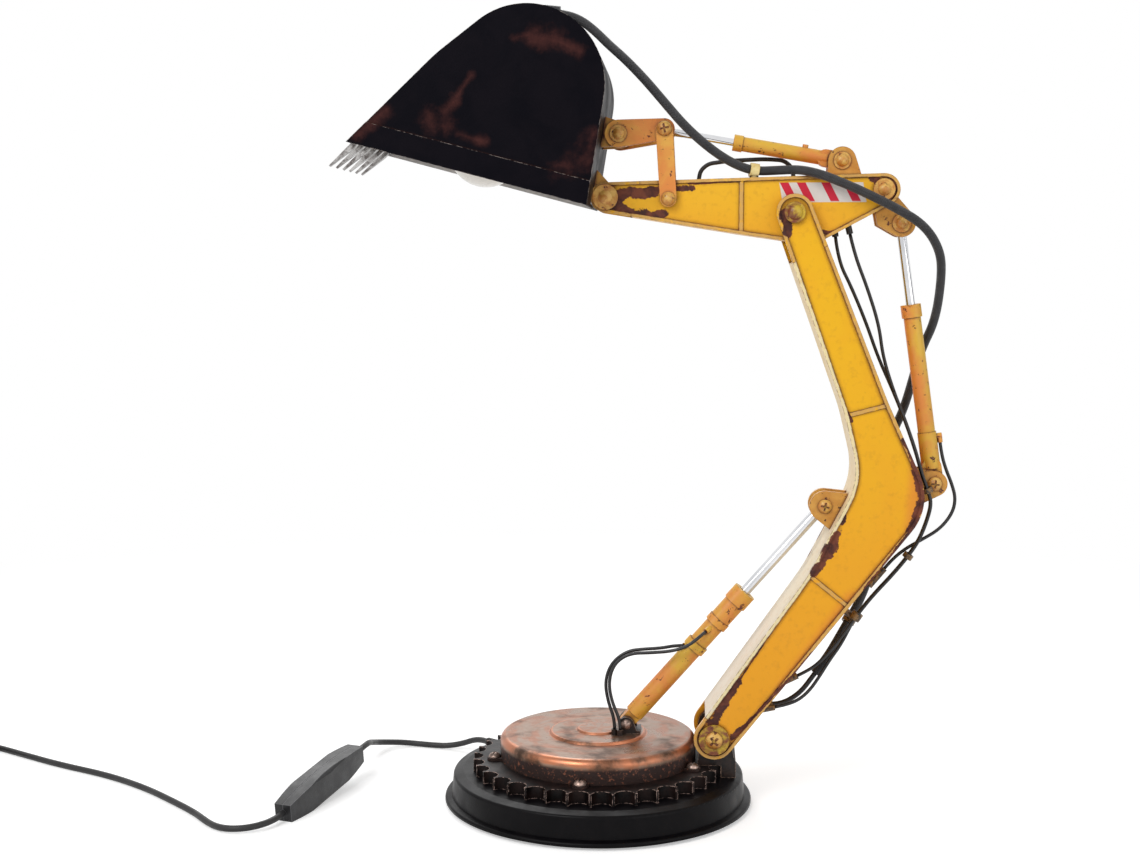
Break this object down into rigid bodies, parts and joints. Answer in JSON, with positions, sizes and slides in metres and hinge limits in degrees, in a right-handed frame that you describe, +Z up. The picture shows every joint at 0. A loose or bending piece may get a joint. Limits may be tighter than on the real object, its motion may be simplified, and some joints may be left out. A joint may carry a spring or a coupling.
{
  "type": "table lamp",
  "caption": "Table lamp shaped like an excavator arm on a round base, with an opal bulb inside the bucket and a switch in its mains cord.",
  "frame": {"origin": "centre of the underside of the felt pad, on the desk", "axes": "+Z up, the bucket reaches towards -X, the pictured near side faces -Y"},
  "size_m": [0.7044, 0.1914, 0.4761],
  "materials": {
    "felt": "matte felt",
    "base_black": "satin black paint over a cast surface",
    "ballast_steel": "bare turned steel",
    "rusty_steel": "brown patina with bright worn spots",
    "copper_dish": "copper coloured with dark patina and worn edges",
    "fastener_steel": "zinc plated, slightly worn",
    "yellow_paint": "satin paint with dark worn edges",
    "orange_paint": "satin paint with dark worn edges",
    "chrome": "polished plating",
    "bucket_paint": "near-black paint, worn brown at the edges",
    "tooth_steel": "dark steel, bright at the tips",
    "black_plastic": "moulded black plastic",
    "black_rubber": "satin black cable sheath",
    "opal_glass": "opal glass, softly glossy",
    "plug_plastic": "moulded black plastic"
  },
  "bodies": {
    "base": {"felt_pad": "felt", "base_casting": "base_black", "ballast_plate": "ballast_steel", "sprocket_ring": "rusty_steel", "turntable_dish": "copper_dish", "base_fasteners": "fastener_steel", "boom_foot_bracket": "orange_paint", "cylinder_foot_bracket": "orange_paint", "base_wiring": "black_rubber", "cord_strain_relief": "black_rubber", "boom_cylinder_hoses": "black_rubber", "mains_cord_base": "black_rubber", "switch_shell_near": "black_plastic", "switch_shell_far": "black_plastic", "mains_cord_lead": "black_rubber", "mains_cord_coil": "black_rubber", "mains_cord_tail": "black_rubber", "mains_plug": "plug_plastic"},
    "switch_key": {"switch_rocker": "black_plastic"},
    "boom": {"boom_side_near": "yellow_paint", "boom_side_far": "yellow_paint", "boom_front_flange": "yellow_paint", "boom_rear_flange": "yellow_paint", "boom_brackets": "orange_paint", "boom_pins": "fastener_steel", "boom_clips": "black_plastic", "lamp_cable_boom": "black_rubber", "boom_lines": "black_rubber", "boom_lead_bend": "black_rubber", "elbow_cables": "black_rubber", "knee_hose": "black_rubber"},
    "stick": {"stick_side_near": "yellow_paint", "stick_side_far": "yellow_paint", "stick_top_flange": "yellow_paint", "stick_bottom_flange": "yellow_paint", "stick_hinge_sleeve": "fastener_steel", "stick_brackets": "orange_paint", "stick_pins": "fastener_steel", "stick_pipes": "black_plastic", "stick_cable_clip": "black_plastic", "lamp_cable_bucket": "black_rubber"},
    "bucket": {"bucket_side_near": "bucket_paint", "bucket_side_far": "bucket_paint", "bucket_back_sheet": "bucket_paint", "bucket_teeth": "tooth_steel", "bucket_lugs": "orange_paint", "bucket_pins": "fastener_steel", "lamp_holder": "black_plastic", "bulb": "opal_glass", "bucket_gland": "black_plastic", "bucket_lead": "black_rubber"},
    "link": {"bucket_link": "orange_paint"},
    "rocker": {"rocker_links": "orange_paint"},
    "boom_cylinder": {"boom_cylinder_barrel": "orange_paint"},
    "boom_rod": {"boom_cylinder_rod": "chrome"},
    "stick_cylinder": {"stick_cylinder_barrel": "orange_paint"},
    "stick_rod": {"stick_cylinder_rod": "chrome"},
    "bucket_cylinder": {"bucket_cylinder_barrel": "orange_paint"},
    "bucket_rod": {"bucket_cylinder_rod": "chrome"}
  },
  "joints": [
    {"name": "boom_hinge", "type": "hinge", "parent": "base", "child": "boom", "pos_m": [0.07, 0, 0.0435], "axis": [0, -1, 0], "range_deg": [-12, 10], "deforming": ["boom_lead_bend"]},
    {"name": "stick_hinge", "type": "hinge", "parent": "boom", "child": "stick", "pos_m": [0.1135, 0, 0.3535], "axis": [0, -1, 0], "range_deg": [-12, 12], "deforming": ["elbow_cables"]},
    {"name": "bucket_hinge", "type": "hinge", "parent": "stick", "child": "bucket", "pos_m": [0.0045, 0, 0.3625], "axis": [0, -1, 0], "range_deg": [-15, 18], "deforming": ["lamp_cable_bucket"]},
    {"name": "boom_cylinder_hinge", "type": "hinge", "parent": "base", "child": "boom_cylinder", "pos_m": [0.0175, 0, 0.048], "axis": [0, -1, 0], "range_deg": [-10.37, 8.73], "deforming": ["boom_cylinder_hoses"]},
    {"name": "boom_rod_slide", "type": "slide", "parent": "boom_cylinder", "child": "boom_rod", "axis": [0.6561, 0, 0.7547], "range_m": [-0.0078, 0.0093]},
    {"name": "stick_cylinder_hinge", "type": "hinge", "parent": "boom", "child": "stick_cylinder", "pos_m": [0.1975, 0, 0.196], "axis": [0, -1, 0], "range_deg": [-1.65, 1.65], "deforming": ["knee_hose"]},
    {"name": "stick_rod_slide", "type": "slide", "parent": "stick_cylinder", "child": "stick_rod", "axis": [-0.1437, 0, 0.9896], "range_m": [-0.013, 0.013]},
    {"name": "bucket_cylinder_hinge", "type": "hinge", "parent": "stick", "child": "bucket_cylinder", "pos_m": [0.141, 0, 0.3835], "axis": [0, -1, 0], "range_deg": [-1.75, 1.99]},
    {"name": "bucket_rod_slide", "type": "slide", "parent": "bucket_cylinder", "child": "bucket_rod", "axis": [-0.9849, 0, 0.173], "range_m": [-0.0092, 0.0109]},
    {"name": "rocker_hinge", "type": "hinge", "parent": "stick", "child": "rocker", "pos_m": [0.041, 0, 0.3615], "axis": [0, -1, 0], "range_deg": [-13.37, 15.94]},
    {"name": "link_hinge", "type": "hinge", "parent": "bucket", "child": "link", "pos_m": [0.012, 0, 0.399], "axis": [0, -1, 0], "range_deg": [-23.86, 19.96]},
    {"name": "switch_hinge", "type": "hinge", "parent": "base", "child": "switch_key", "pos_m": [-0.17044, -0.01601, 0.01128], "axis": [0.0431, 0.1323, -0.9903], "range_deg": [0, 14]}
  ],
  "couplings": [
    {"joint": "boom_cylinder_hinge", "follows": "boom_hinge", "ratio": 0.8227},
    {"joint": "boom_rod_slide", "follows": "boom_hinge", "m_per_rad": -0.042032},
    {"joint": "stick_cylinder_hinge", "follows": "stick_hinge", "ratio": -0.0959},
    {"joint": "stick_rod_slide", "follows": "stick_hinge", "m_per_rad": 0.059782},
    {"joint": "rocker_hinge", "follows": "bucket_hinge", "ratio": 0.8577},
    {"joint": "link_hinge", "follows": "bucket_hinge", "ratio": -1.2975},
    {"joint": "bucket_cylinder_hinge", "follows": "bucket_hinge", "ratio": 0.083},
    {"joint": "bucket_rod_slide", "follows": "bucket_hinge", "m_per_rad": 0.033169}
  ]
}
